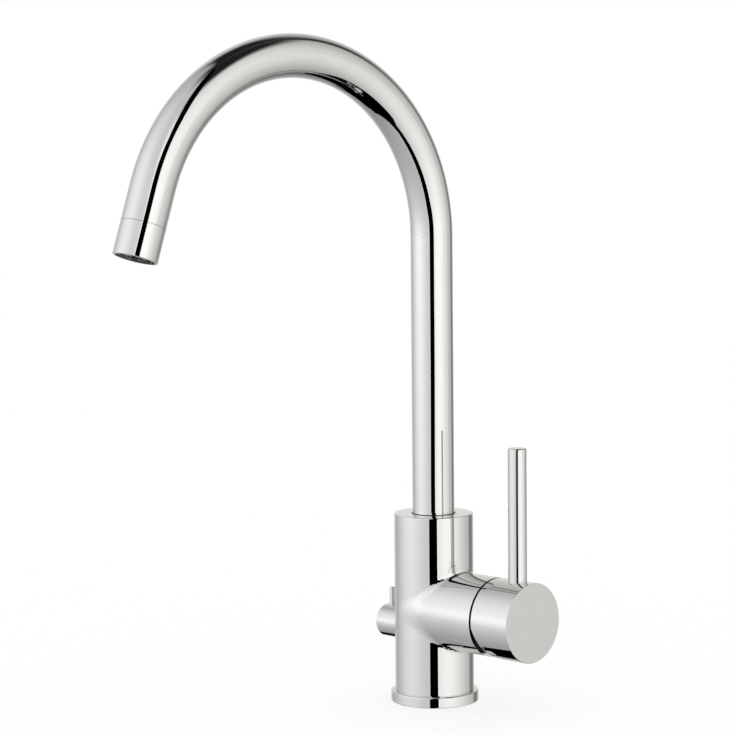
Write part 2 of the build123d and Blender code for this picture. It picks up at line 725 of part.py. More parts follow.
rod_foot = mixer_z + rod_socket
with BuildPart() as handle_cap:
    with BuildSketch(mixer_section):
        band(cap_start, cap_end, 0, branch_radius)
        band(cap_start, cap_floor, 0, dome_radius + dome_play, mode=Mode.SUBTRACT)
    revolve(axis=mixer_axis)
    fillet(handle_cap.edges().group_by(Axis.X)[-1], radius=cap_edge)
    # slanted relief under the cap
    with BuildSketch(mixer_section):
        low = -branch_radius - AIR
        with BuildLine():
            Polyline(
                (cap_start, -relief_start),
                (cap_start, low),
                (cap_start + relief_reach, low),
                (cap_start + relief_step, -relief_corner),
                close=True,
            )
        make_face()
    extrude(amount=branch_radius + AIR, both=True, mode=Mode.SUBTRACT)
    with BuildSketch(across_mixer(cap_floor)):
        Rectangle(stem_width + SLIP, stem_width + SLIP)
    extrude(amount=stem_socket_depth, mode=Mode.SUBTRACT)
    # seat and thread of the lever rod, from above
    with BuildSketch(Plane.XY.offset(rod_foot)):
        with Locations((rod_x, 0)):
            Circle(rod_radius + RUN)
    extrude(amount=branch_radius, mode=Mode.SUBTRACT)
    with BuildSketch(Plane.XY.offset(mixer_z + rod_thread_end)):
        with Locations((rod_x, 0)):
            Circle(rod_thread_radius)
    extrude(amount=rod_socket - rod_thread_end, mode=Mode.SUBTRACT)
    # thread of the fixing screw, from below
    with BuildSketch(Plane.XY.offset(mixer_z)):
        with Locations((rod_x, 0)):
            Circle(grub_radius)
    extrude(amount=-branch_radius, mode=Mode.SUBTRACT)

with BuildPart() as lever_rod:
    with BuildSketch(Plane.XY.offset(rod_foot)):
        with Locations((rod_x, 0)):
            Circle(rod_radius)
    extrude(amount=rod_top - rod_foot)
    fillet(lever_rod.edges().group_by(Axis.Z)[-1], radius=rod_edge)
    with BuildSketch(Plane.XY.offset(rod_foot)):
        with Locations((rod_x, 0)):
            Circle(rod_thread_radius - RUN)
    extrude(amount=rod_thread_end + SLIP - rod_socket)

grub_tip = mixer_z - stem_width / 2 - SLIP
grub_length = 10.0
with BuildPart() as handle_grub_screw:
    with BuildSketch(Plane.XY.offset(grub_tip)):
        with Locations((rod_x, 0)):
            Circle(grub_radius - RUN)
    extrude(amount=-grub_length)
    with BuildSketch(Plane.XY.offset(grub_tip - grub_length)):
        with Locations((rod_x, 0)):
            RegularPolygon(hex_radius, 6)
    extrude(amount=hex_depth, mode=Mode.SUBTRACT)

cover_length = 5.0
with BuildPart() as screw_cover:
    with BuildSketch(Plane.XY.offset(mixer_z - branch_radius + 1.5 * SLIP)):
        with Locations((rod_x, 0)):
            Circle(grub_radius - RUN)
    extrude(amount=cover_length)

# ================= filter valve and knob =================

with BuildPart() as filter_valve_body:
    with BuildSketch(filter_section):
        band(valve_seat + 2 * SLIP, valve_chamber_end + AIR, 0, valve_barrel_radius)
        band(valve_chamber_end + AIR, knob_recess_floor - AIR, 0, valve_thread_radius - RUN)
        band(knob_recess_floor - AIR, valve_neck_end, 0, valve_neck_radius)
        band(valve_seat, valve_bore_end, 0, valve_bore, mode=Mode.SUBTRACT)
        band(valve_bore_end, valve_neck_end, 0, spindle_radius + RUN, mode=Mode.SUBTRACT)
        low = valve_ring_start
        band(low, low + valve_ring_width, valve_ring_groove, valve_thread_radius, mode=Mode.SUBTRACT)
    revolve(axis=filter_axis)
    with BuildSketch(filter_section):
        low = valve_window_start
        band(low, low + valve_window, -valve_window_half, valve_window_half)
    extrude(amount=valve_chamber_radius, both=True, mode=Mode.SUBTRACT)

with BuildPart() as filter_body_o_ring:
    with BuildSketch(filter_section):
        middle = valve_ring_start + valve_ring_width / 2
        ring_section(middle, valve_thread_radius - RUN - valve_ring_thickness, valve_ring_thickness)
    revolve(axis=filter_axis)

with BuildPart() as filter_seat_seal:
    with BuildSketch(filter_section):
        band(valve_seat, disc_a_start, seat_seal_inner, valve_bore - RUN)
    revolve(axis=filter_axis)

with BuildPart() as filter_fixed_disc:
    with BuildSketch(across_filter(disc_a_start)):
        Circle(valve_bore - RUN)
        with Locations((0, small_port_offset), (0, -small_port_offset)):
            Circle(small_port_radius, mode=Mode.SUBTRACT)
    extrude(amount=small_disc_thickness)

with BuildPart() as filter_moving_disc:
    with BuildSketch(across_filter(disc_b_start)):
        Circle(valve_bore - 2 * SLIP)
        with Locations((small_port_offset, 0), (-small_port_offset, 0)):
            Circle(small_port_radius, mode=Mode.SUBTRACT)
        with Locations((valve_bore, 0), (-valve_bore, 0)):
            Rectangle(2 * small_port_offset, 2 * small_port_radius, mode=Mode.SUBTRACT)
    extrude(amount=small_disc_thickness)
    with BuildSketch(across_filter(foot_start)):
        Rectangle(2 * (tongue_half + RUN), tongue_length + SLIP)
    extrude(amount=-tongue_depth, mode=Mode.SUBTRACT)

with BuildPart() as filter_spindle:
    with BuildSketch(filter_section):
        band(foot_start, foot_start + spindle_foot, 0, valve_bore - 2 * SLIP)
        band(foot_start + spindle_foot, spindle_end, 0, spindle_radius)
        low = spindle_ring_start
        band(low, low + spindle_ring_width, spindle_ring_groove, spindle_radius, mode=Mode.SUBTRACT)
    revolve(axis=filter_axis)
    with BuildSketch(across_filter(foot_start)):
        Rectangle(2 * tongue_half, tongue_length)
    extrude(amount=RUN - tongue_depth)

with BuildPart() as spindle_o_ring:
    with BuildSketch(filter_section):
        middle = spindle_ring_start + spindle_ring_width / 2
        ring_section(middle, spindle_radius + RUN / 2 - spindle_ring_thickness, spindle_ring_thickness)
    revolve(axis=filter_axis)

knob_pin_foot = filter_z + knob_pin_socket
with BuildPart() as filter_knob:
    with BuildSketch(filter_section):
        band(knob_start, knob_end, 0, knob_radius)
        hollow_end = knob_start + knob_hollow_depth
        band(knob_start, hollow_end, 0, knob_hollow_radius, mode=Mode.SUBTRACT)
        band(hollow_end, spindle_end + SLIP, 0, spindle_radius + RUN, mode=Mode.SUBTRACT)
    revolve(axis=filter_axis)
    fillet(filter_knob.edges().group_by(Axis.X)[0], radius=knob_edge)
    with BuildSketch(Plane.XY.offset(knob_pin_foot)):
        with Locations((-knob_pin_x, 0)):
            Circle(knob_pin_radius + RUN)
    extrude(amount=knob_radius, mode=Mode.SUBTRACT)
    with BuildSketch(Plane.XY.offset(filter_z)):
        with Locations((-knob_pin_x, 0)):
            Circle(knob_pin_thread)
    extrude(amount=knob_radius, mode=Mode.SUBTRACT)

with BuildPart() as filter_pin:
    with BuildSketch(Plane.XY.offset(knob_pin_foot)):
        with Locations((-knob_pin_x, 0)):
            Circle(knob_pin_radius)
    extrude(amount=knob_pin_top - knob_pin_foot)
    fillet(filter_pin.edges().group_by(Axis.Z)[-1], radius=knob_pin_edge)
    with BuildSketch(Plane.XY.offset(knob_pin_foot)):
        with Locations((-knob_pin_x, 0)):
            Circle(knob_pin_thread - RUN)
    extrude(amount=spindle_radius + RUN - knob_pin_socket)

# ================= write every piece =================

pieces = {
    "body_casting": body_casting,
    "base_ring": base_ring,
    "base_seal": base_seal,
    "inlet_manifold": inlet_manifold,
    "manifold_seal": manifold_seal,
    "spout_slip_ring": spout_slip_ring,
    "spout_thrust_washer": spout_thrust_washer,
    "spout_grub_screw": spout_grub_screw,
    "spout_tube": spout_tube,
    "filter_tube": filter_tube,
    "spout_adapter": spout_adapter,
    "spout_lower_bush": spout_lower_bush,
    "spout_o_rings": spout_o_rings,
    "filter_tube_nipple": filter_tube_nipple,
    "nipple_o_ring": nipple_o_ring,
    "spout_nose_insert": spout_nose_insert,
    "aerator_housing": aerator_housing,
    "aerator_insert": aerator_insert,
    "aerator_seal": aerator_seal,
    "filter_nozzle": filter_nozzle,
    "cartridge_base": cartridge_base,
    "cartridge_seals": cartridge_seals,
    "cartridge_housing": cartridge_housing,
    "fixed_ceramic_disc": fixed_ceramic_disc,
    "moving_ceramic_disc": moving_ceramic_disc,
    "disc_coupler": disc_coupler,
    "cartridge_turret": cartridge_turret,
    "stem_pin": stem_pin,
    "cartridge_stem": cartridge_stem,
    "cartridge_nut": cartridge_nut,
    "dome_ring": dome_ring,
    "handle_cap": handle_cap,
    "lever_rod": lever_rod,
    "handle_grub_screw": handle_grub_screw,
    "screw_cover": screw_cover,
    "filter_valve_body": filter_valve_body,
    "filter_body_o_ring": filter_body_o_ring,
    "filter_seat_seal": filter_seat_seal,
    "filter_fixed_disc": filter_fixed_disc,
    "filter_moving_disc": filter_moving_disc,
    "filter_spindle": filter_spindle,
    "spindle_o_ring": spindle_o_ring,
    "filter_knob": filter_knob,
    "filter_pin": filter_pin,
}
os.makedirs("parts", exist_ok=True)
for name, piece in pieces.items():
    piece.part.label = name
    export_step(piece.part, f"parts/{name}.step")
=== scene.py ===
from math import cos, radians, tau

import bpy
from mathutils import Matrix, Vector


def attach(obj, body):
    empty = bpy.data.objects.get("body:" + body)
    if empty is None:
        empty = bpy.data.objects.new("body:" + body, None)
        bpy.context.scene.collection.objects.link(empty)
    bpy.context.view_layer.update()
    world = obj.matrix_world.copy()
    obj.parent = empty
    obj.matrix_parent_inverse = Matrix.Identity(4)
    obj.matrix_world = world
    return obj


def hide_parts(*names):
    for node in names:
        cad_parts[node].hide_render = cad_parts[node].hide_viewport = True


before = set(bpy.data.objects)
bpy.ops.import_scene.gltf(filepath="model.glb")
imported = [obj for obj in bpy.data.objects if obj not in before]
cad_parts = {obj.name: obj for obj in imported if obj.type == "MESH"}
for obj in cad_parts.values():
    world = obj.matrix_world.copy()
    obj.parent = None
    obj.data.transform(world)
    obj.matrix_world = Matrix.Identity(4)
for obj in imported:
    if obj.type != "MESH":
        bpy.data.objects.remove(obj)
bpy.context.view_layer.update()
scene = bpy.context.scene
scene.view_settings.view_transform = "Standard"
MM = 0.001


# ---------------------------------------------------------------- small helpers

MIX_FROM, MIX_TO, MIX_OUT = 6, 7, 2  # the colour sockets of a Mix node


def linear(hex_colour):
    """sRGB hex to the linear colour that the shaders want."""
    levels = [int(hex_colour[i : i + 2], 16) / 255 for i in (0, 2, 4)]
    return (*(c / 12.92 if c <= 0.04045 else ((c + 0.055) / 1.055) ** 2.4 for c in levels), 1.0)


def add_node(tree, kind, *values, named=None, **settings):
    """A node with its settings and links. Values fill its sockets in order, or by name or number, and a node
    stands for its first output."""
    node = tree.nodes.new(kind)
    for name, value in settings.items():
        setattr(node, name, value)
    for socket, value in [*enumerate(values), *(named or {}).items()]:
        if isinstance(value, bpy.types.Node):
            value = value.outputs[0]
        if isinstance(value, bpy.types.NodeSocket):
            tree.links.new(value, node.inputs[socket])
        elif value is not None:
            node.inputs[socket].default_value = value
    return node


def start_material(name):
    """A material with no nodes yet, and its tree."""
    material = bpy.data.materials.new(name)
    material.use_nodes = True
    material.node_tree.nodes.clear()
    return material, material.node_tree


def clear_selection():
    if bpy.context.mode != "OBJECT":
        bpy.ops.object.mode_set(mode="OBJECT")
    bpy.ops.object.select_all(action="DESELECT")


def work_on(piece):
    clear_selection()
    piece.select_set(True)
    bpy.context.view_layer.objects.active = piece


def pick(piece, kind, test):
    """Leaves the piece in edit mode with those edges or faces selected whose corners, in mm, pass the test."""
    work_on(piece)
    bpy.ops.object.mode_set(mode="EDIT")
    bpy.ops.mesh.select_mode(type=kind)
    bpy.ops.mesh.select_all(action="DESELECT")
    bpy.ops.object.mode_set(mode="OBJECT")
    mesh = piece.data
    for part in mesh.edges if kind == "EDGE" else mesh.polygons:
        part.select = test([mesh.vertices[i].co / MM for i in part.vertices])
    bpy.ops.object.mode_set(mode="EDIT")


def apply_modifier(piece, kind, **settings):
    work_on(piece)
    modifier = piece.modifiers.new(kind.lower(), kind)
    for name, value in settings.items():
        setattr(modifier, name, value)
    bpy.ops.object.modifier_apply(modifier=modifier.name)


def drum(name, material, radius, start, end, sides, along="Z", beside=0.0, over=0.0):
    """A round bar in mm between two places on its axis: beside and over are x and y, or y and z along X. It has no
    UV map, as nothing reads one, and a boolean's share of one changes a hair from run to run."""
    clear_selection()
    middle = (start + end) / 2
    place = (beside, over, middle) if along == "Z" else (middle, beside, over)
    bpy.ops.mesh.primitive_cylinder_add(
        vertices=sides, radius=radius * MM, depth=abs(end - start) * MM, calc_uvs=False,
        location=[c * MM for c in place], rotation=(0, radians(90) if along == "X" else 0, 0),
    )
    bar = bpy.context.object
    bar.name = name
    bar.data.materials.append(material)
    bpy.ops.object.transform_apply(location=True, rotation=True, scale=True)
    return bar


def combine(piece, tool, operation):
    """Joins the tool to the piece or cuts it away, and removes the tool."""
    apply_modifier(
        piece, "BOOLEAN", object=tool, operation=operation, solver="MANIFOLD", material_mode="TRANSFER"
    )
    bpy.data.objects.remove(tool)


def smooth(piece, sharpest):
    """Shades the piece smooth, except over edges that turn by more degrees than that."""
    work_on(piece)
    bpy.ops.object.shade_smooth_by_angle(angle=radians(sharpest))


def ride_as(piece, body):
    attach(piece, body)


# ---------------------------------------------------------------- sizes in mm

BODY_RADIUS = 23.6
BODY_FOOT = 2.5
BODY_TOP = 113.2
BODY_EDGE = 0.5
BRANCH_RADIUS = 23.35
BRANCH_END = 49.2
MIXER_Z = 56.2  # heights of the axes: mixer, filter valve, cross bore of the filtered water, keeper screw
FILTER_Z = 43.4
CROSS_Z = 66.0
KEEPER_Z = 98.9
KEEPER_RADIUS = 2.5
HOT_AT = (6.0, -8.0)  # x and y of the holes in the body's foot
COLD_AT = (6.0, 8.0)
FILTERED_AT = (-4.5, 0.0)
STUD_AT = (-14.3, 0.0)
OUTLET_AT = (-15.27, -215.10, 274.74)
OUTLET_WAY = (-0.022172, -0.312378, -0.949699)


# ---------------------------------------------------------------- camera

CAMERA_AT = (1.00503, -1.07159, 0.33813)
CAMERA_AZIMUTH = 44.67
CAMERA_PITCH = 5.346
CAMERA_ROLL = -0.564
LENS_MM = 121.48
SENSOR_MM = 36
NEAREST, FARTHEST = 0.05, 30

lens = bpy.data.cameras.new("camera")
lens.lens = LENS_MM
lens.sensor_width = SENSOR_MM
lens.clip_start = NEAREST
lens.clip_end = FARTHEST
camera = bpy.data.objects.new("camera", lens)
scene.collection.objects.link(camera)
aim = Matrix.Rotation(radians(CAMERA_AZIMUTH), 3, "Z")
aim = aim @ Matrix.Rotation(radians(90 - CAMERA_PITCH), 3, "X")
aim = aim @ Matrix.Rotation(radians(CAMERA_ROLL), 3, "Z")
camera.rotation_euler = aim.to_euler()
camera.location = CAMERA_AT
scene.camera = camera


# ---------------------------------------------------------------- studio

# A white tent round the tap, in degrees: azimuth 0 is the dark slit in front and positive is to its right, and
# height is over the horizon. Each wall is cloth that brightens by its tilt to the right, with lamps behind it that
# give a soft patch of light each: azimuth, height, half width, half height and gain.
SLIT_AZIMUTH = -46.2
LEFT_WALL = dict(
    middle=-69, half=77, soft=8, bottom=-80, top=80, edge=9, level=0.49, tilt=0.13,
    lamps=((-78, 20, 62, 50, 0.72), (-72, 1, 40, 12, 0.30), (-6, 0, 13, 70, 0.12)),
)
RIGHT_WALL = dict(
    middle=65, half=62, soft=8, bottom=-80, top=53, edge=9, level=0.22, tilt=0.17,
    lamps=((33, 4, 74, 78, 1.15), (36, 4, 26, 14, 0.20)),
)
BACK_WALL = dict(
    middle=179, half=35, soft=9, bottom=-72, top=52, edge=10, level=0.19, tilt=0.11,
    lamps=((183, 10, 56, 46, 0.67),),
)
# The pole between the right wall and the back wall: grey up to its top, and nearly black over it.
POLE = dict(azimuth=134, half=13, soft=5, bottom=-60, top=29, edge=9, low=0.24, high=0.03)
# The room over the tent, from a height where it starts to one where it is at its full, faint level.
ROOM = dict(start=40.0, full=60.0, level=0.02)
LEFT_TINT = "FDFEFF"
RIGHT_TINT = "FEFFFB"
WHITE = "FFFFFF"
HALF_TURN = 180.0
# The slit narrows upwards as the tent leans in: distance in front, height, left and right edge, in metres.
SLIT = (
    (1.06, -2.00, -0.275, 0.185), (1.06, -0.02, -0.255, 0.175), (1.04, 0.10, -0.195, 0.225),
    (1.00, 0.32, -0.190, 0.230), (0.65, 0.75, -0.015, 0.220), (0.42, 1.50, -0.10, 0.10), (0.30, 2.60, -0.09, 0.09),
)
# The dark opening in the cloth under the tap: across and behind, in metres, and how far it is under the deck. Its
# narrow end, far behind on the left, is the black line along the filter knob's lower edge.
GAP = (
    (-0.185, 0.63), (-0.165, 0.72), (-0.135, 0.90), (-0.19, 0.90), (-0.24, 0.75), (-0.29, 0.60), (-0.35, 0.44),
    (-0.35, 0.39), (-0.325, 0.27), (-0.335, 0.20), (-0.18, -0.18), (-0.13, -0.42), (-0.10, -0.52),
    (0.22, -0.52), (0.27, -0.30), (0.38, -0.03), (0.40, 0.30), (0.30, 0.63),
)
GAP_DEPTH = 0.5
FLOOR_WIDE = 8.0
FLOOR_WHITE = "F9F9F8"
FLOOR_SHARE = 0.75  # how much of the paper's white to the camera is its own glow; the rest takes the shadow


def make_studio():
    """Polished metal sees the tent. The camera sees white, and white lights what isn't polished."""
    world = bpy.data.worlds.new("white_tent")
    scene.world = world
    world.use_nodes = True
    tree = world.node_tree
    tree.nodes.clear()
    way = add_node(tree, "ShaderNodeTexCoord").outputs["Generated"]
    turned = add_node(
        tree, "ShaderNodeMapping", named={"Vector": way, "Rotation": (0, 0, -radians(SLIT_AZIMUTH))}
    )
    parts = add_node(tree, "ShaderNodeSeparateXYZ", turned).outputs
    azimuth = add_node(tree, "ShaderNodeMath", parts["Y"], parts["X"], operation="ARCTAN2")
    azimuth = add_node(tree, "ShaderNodeMath", azimuth, operation="DEGREES")
    height = add_node(tree, "ShaderNodeMath", parts["Z"], operation="ARCSINE")
    height = add_node(tree, "ShaderNodeMath", height, operation="DEGREES")

    def turn_from(place):
        """Degrees round from that azimuth, the short way."""
        aside = add_node(tree, "ShaderNodeMath", azimuth, place, operation="SUBTRACT")
        return add_node(tree, "ShaderNodeMath", aside, HALF_TURN, -HALF_TURN, operation="WRAP")

    def within(value, middle, half, soft):
        """1 between the two edges and 0 outside, with soft edges."""
        off = add_node(tree, "ShaderNodeMath", value, middle, operation="SUBTRACT")
        off = add_node(tree, "ShaderNodeMath", off, operation="ABSOLUTE")
        ends = (half - soft, half + soft, 1.0, 0.0)
        return add_node(tree, "ShaderNodeMapRange", off, *ends, interpolation_type="SMOOTHSTEP")

    def between(bottom, top, edge):
        """1 between the two heights and 0 outside, with soft edges."""
        return within(height, (bottom + top) / 2, (top - bottom) / 2, edge)

    def cloth_wall(middle, half, soft, bottom, top, edge, level, tilt, lamps):
        aside = turn_from(middle)
        light = add_node(tree, "ShaderNodeMath", aside, tilt / half, level, operation="MULTIPLY_ADD")
        for place, lamp_height, wide, high, gain in lamps:
            across = add_node(tree, "ShaderNodeMath", turn_from(place), wide, operation="DIVIDE")
            across = add_node(tree, "ShaderNodeMath", across, across, operation="MULTIPLY")
            up = add_node(tree, "ShaderNodeMath", height, lamp_height, operation="SUBTRACT")
            up = add_node(tree, "ShaderNodeMath", up, high, operation="DIVIDE")
            far = add_node(tree, "ShaderNodeMath", up, up, across, operation="MULTIPLY_ADD")
            far = add_node(tree, "ShaderNodeMath", far, -1.0, operation="MULTIPLY")
            patch = add_node(tree, "ShaderNodeMath", far, operation="EXPONENT")
            light = add_node(tree, "ShaderNodeMath", patch, gain, light, operation="MULTIPLY_ADD")
        cut = within(aside, 0.0, half, soft)
        cut = add_node(tree, "ShaderNodeMath", cut, between(bottom, top, edge), operation="MULTIPLY")
        return add_node(tree, "ShaderNodeMath", light, cut, operation="MULTIPLY")

    light = cloth_wall(**LEFT_WALL)
    for wall in (RIGHT_WALL, BACK_WALL):
        light = add_node(tree, "ShaderNodeMath", light, cloth_wall(**wall), operation="ADD")
    pole = within(turn_from(POLE["azimuth"]), 0.0, POLE["half"], POLE["soft"])
    level = between(POLE["bottom"], POLE["top"], POLE["edge"])
    level = add_node(tree, "ShaderNodeMath", level, POLE["low"], POLE["high"], operation="MULTIPLY_ADD")
    pole = add_node(tree, "ShaderNodeMath", pole, level, operation="MULTIPLY")
    light = add_node(tree, "ShaderNodeMath", light, pole, operation="MAXIMUM")
    ends = (ROOM["start"], ROOM["full"], 0.0, ROOM["level"])
    room = add_node(tree, "ShaderNodeMapRange", height, *ends, interpolation_type="SMOOTHSTEP")
    light = add_node(tree, "ShaderNodeMath", light, room, operation="ADD")

    on_left = within(turn_from(LEFT_WALL["middle"]), 0.0, LEFT_WALL["half"], LEFT_WALL["soft"])
    tints = {MIX_FROM: linear(RIGHT_TINT), MIX_TO: linear(LEFT_TINT)}
    cloth = add_node(tree, "ShaderNodeMix", on_left, named=tints, data_type="RGBA").outputs[MIX_OUT]
    tent = add_node(tree, "ShaderNodeBackground", cloth, light)
    white = add_node(tree, "ShaderNodeBackground", linear(WHITE), 1.0)
    ray = add_node(tree, "ShaderNodeLightPath").outputs
    seen = add_node(tree, "ShaderNodeMixShader", ray["Is Glossy Ray"], white, tent)
    seen = add_node(tree, "ShaderNodeMixShader", ray["Is Camera Ray"], seen, white)
    add_node(tree, "ShaderNodeOutputWorld", seen)


def flag(name, corners, faces):
    """A black cloth that only polished metal sees. Its corners are in metres: across, behind and up, as seen from
    the slit."""
    mesh = bpy.data.meshes.new(name)
    front = Matrix.Rotation(radians(SLIT_AZIMUTH + 90), 3, "Z")
    mesh.from_pydata([front @ Vector(corner) for corner in corners], [], faces)
    cloth = bpy.data.objects.new(name, mesh)
    scene.collection.objects.link(cloth)
    for kind in ("camera", "diffuse", "transmission", "volume_scatter", "shadow"):
        setattr(cloth, "visible_" + kind, False)
    velvet, tree = start_material(name + "_black_velvet")
    dark = add_node(tree, "ShaderNodeEmission", linear("000000"), 0.0)
    add_node(tree, "ShaderNodeOutputMaterial", dark)
    mesh.materials.append(velvet)


def make_floor():
    """Matt white paper under the tap. It takes the shadow, and polished metal doesn't see it."""
    clear_selection()
    bpy.ops.mesh.primitive_plane_add(size=FLOOR_WIDE, location=(0, 0, 0))
    floor = bpy.context.object
    floor.name = "floor"
    floor.visible_glossy = False
    paper, tree = start_material("white_paper")
    white = linear(FLOOR_WHITE)
    matt = add_node(tree, "ShaderNodeBsdfDiffuse", white)
    glow = (1.0 - (1.0 - FLOOR_SHARE) * white[0]) / FLOOR_SHARE  # so that lit paper comes out at 1
    lit = add_node(tree, "ShaderNodeEmission", linear(WHITE), glow)
    ray = add_node(tree, "ShaderNodeLightPath").outputs
    share = add_node(tree, "ShaderNodeMath", ray["Is Camera Ray"], FLOOR_SHARE, operation="MULTIPLY")
    add_node(tree, "ShaderNodeOutputMaterial", add_node(tree, "ShaderNodeMixShader", share, matt, lit))
    floor.data.materials.append(paper)


make_studio()
slit_corners = [(x, -away, z) for away, z, left, right in SLIT for x in (left, right)]
slit_faces = [(i, i + 1, i + 3, i + 2) for i in range(0, 2 * len(SLIT) - 2, 2)]
flag("front_slit", slit_corners, slit_faces)
flag("dark_gap", [(x, y, -GAP_DEPTH) for x, y in GAP], [tuple(range(len(GAP)))])
make_floor()


# ---------------------------------------------------------------- materials

NOISE_SPAN = (0.3, 0.7)  # what nearly all of a noise pattern lies between
HAZE_SPAN = (0.35, 0.65)
TALC_SPAN = (0.45, 0.75)
CHROME_TONES = ("D9D9D8", "D7D7D6")
HAZE_MM = 9
# painted shade: the dark colour given to the inside of the cap's hollow
HOLLOW_PAINTED_SHADE_TONE = "4A4742"
HOLLOW_ROUGHNESS = 0.55
STAIN_MM = 6
FLOW_MM = 8


def chrome_plate(name, wave_mm, wave_depth_mm, haze, hollow=None):
    """Bright chrome over polished brass. The polishing wheel leaves the mirror a little wavy, which bends the
    edges of what it reflects, and its haze changes softly from place to place. No wheel reaches a hollow, given by
    its radius, its end along X and the height of its axis in mm: there the plate is thin and dull, and its colour
    is darkened as painted shade of the hollow."""
    material, tree = start_material(name)
    place = add_node(tree, "ShaderNodeTexCoord").outputs["Object"]
    wave = add_node(
        tree, "ShaderNodeTexNoise", named={"Vector": place, "Scale": 1 / (wave_mm * MM), "Detail": 1.0}
    )
    bump = add_node(
        tree, "ShaderNodeBump", named={"Strength": 1.0, "Distance": wave_depth_mm * MM, "Height": wave}
    )
    cloud = add_node(
        tree, "ShaderNodeTexNoise", named={"Vector": place, "Scale": 1 / (HAZE_MM * MM), "Detail": 5.0}
    )
    rough = add_node(tree, "ShaderNodeMapRange", cloud, *HAZE_SPAN, *haze)
    tone = add_node(tree, "ShaderNodeMapRange", cloud, *NOISE_SPAN, 0.0, 1.0)
    tones = {MIX_FROM: linear(CHROME_TONES[0]), MIX_TO: linear(CHROME_TONES[1])}
    colour = add_node(tree, "ShaderNodeMix", tone, named=tones, data_type="RGBA").outputs[MIX_OUT]
    if hollow:
        to_axis = {"Vector": place, "Scale": (0, 1, 1), "Location": (0, 0, -hollow["height"] * MM)}
        off_axis = add_node(tree, "ShaderNodeMapping", named=to_axis)
        off_axis = add_node(tree, "ShaderNodeVectorMath", off_axis, operation="LENGTH").outputs["Value"]
        along = add_node(tree, "ShaderNodeSeparateXYZ", place).outputs["X"]
        near = add_node(tree, "ShaderNodeMath", off_axis, hollow["radius"] * MM, operation="LESS_THAN")
        before = add_node(tree, "ShaderNodeMath", along, hollow["end"] * MM, operation="LESS_THAN")
        inside = add_node(tree, "ShaderNodeMath", near, before, operation="MULTIPLY")
        # inside the hollow the plate is duller, and painted shade darkens its colour
        rough = add_node(tree, "ShaderNodeMapRange", inside, 0.0, 1.0, rough, HOLLOW_ROUGHNESS)
        tones = {MIX_FROM: colour, MIX_TO: linear(HOLLOW_PAINTED_SHADE_TONE)}
        colour = add_node(tree, "ShaderNodeMix", inside, named=tones, data_type="RGBA").outputs[MIX_OUT]
    plate = {"Base Color": colour, "Metallic": 1.0, "Roughness": rough, "Normal": bump}
    add_node(tree, "ShaderNodeOutputMaterial", add_node(tree, "ShaderNodeBsdfPrincipled", named=plate))
    return material


def turned_metal(name, tones, rough, feed_mm, groove_mm, centre, axis):
    """Bare metal from the lathe. The tool's feed leaves fine rings round the axis, on the sides and on the ends,
    that catch the light, and the bare metal darkens in soft patches. A real feed is nearer to 0.1 mm and wouldn't
    show, so the rings are drawn coarser."""
    material, tree = start_material(name)
    place = add_node(tree, "ShaderNodeTexCoord").outputs["Object"]
    tip = Vector(axis).to_track_quat("Z", "Y").inverted()
    moved = add_node(tree, "ShaderNodeMapping", named={"Vector": place, "Location": [-c * MM for c in centre]})
    moved = add_node(tree, "ShaderNodeMapping", named={"Vector": moved, "Rotation": tip.to_euler()})
    parts = add_node(tree, "ShaderNodeSeparateXYZ", moved).outputs
    flat = add_node(tree, "ShaderNodeCombineXYZ", parts["X"], parts["Y"], 0.0)
    radius = add_node(tree, "ShaderNodeVectorMath", flat, operation="LENGTH").outputs["Value"]
    along = add_node(tree, "ShaderNodeMath", radius, parts["Z"], operation="ADD")
    turns = add_node(tree, "ShaderNodeMath", along, tau / (feed_mm * MM), operation="MULTIPLY")
    rings = add_node(tree, "ShaderNodeMath", turns, operation="SINE")
    stain = add_node(
        tree, "ShaderNodeTexNoise", named={"Vector": place, "Scale": 1 / (STAIN_MM * MM), "Detail": 6.0}
    )
    bump = add_node(tree, "ShaderNodeBump", named={"Strength": 1.0, "Distance": groove_mm * MM, "Height": rings})
    tones = {MIX_FROM: linear(tones[0]), MIX_TO: linear(tones[1])}
    colour = add_node(tree, "ShaderNodeMix", stain, named=tones, data_type="RGBA").outputs[MIX_OUT]
    dull = add_node(tree, "ShaderNodeMapRange", stain, *NOISE_SPAN, *rough)
    metal = {"Base Color": colour, "Metallic": 1.0, "Roughness": dull, "Normal": bump}
    add_node(tree, "ShaderNodeOutputMaterial", add_node(tree, "ShaderNodeBsdfPrincipled", named=metal))
    return material


def moulded_plastic(name, tones, rough, grain_mm, grain_depth_mm, cloudy=None):
    """Injection moulded plastic: a spark-eroded grain from the mould, drawn coarser than the real 0.05 mm so that
    it shows, and a slight change of tone where the melt met. Cloudy plastic lets light some way in."""
    material, tree = start_material(name)
    place = add_node(tree, "ShaderNodeTexCoord").outputs["Object"]
    grain = add_node(
        tree, "ShaderNodeTexNoise", named={"Vector": place, "Scale": 1 / (grain_mm * MM), "Detail": 3.0}
    )
    flow = add_node(
        tree, "ShaderNodeTexNoise", named={"Vector": place, "Scale": 1 / (FLOW_MM * MM), "Detail": 2.0}
    )
    bump = add_node(
        tree, "ShaderNodeBump", named={"Strength": 1.0, "Distance": grain_depth_mm * MM, "Height": grain}
    )
    tones = {MIX_FROM: linear(tones[0]), MIX_TO: linear(tones[1])}
    colour = add_node(tree, "ShaderNodeMix", flow, named=tones, data_type="RGBA").outputs[MIX_OUT]
    sheen = add_node(tree, "ShaderNodeMapRange", grain, *NOISE_SPAN, *rough)
    plastic = {"Base Color": colour, "Roughness": sheen, "Normal": bump, **(cloudy or {})}
    add_node(tree, "ShaderNodeOutputMaterial", add_node(tree, "ShaderNodeBsdfPrincipled", named=plastic))
    return material


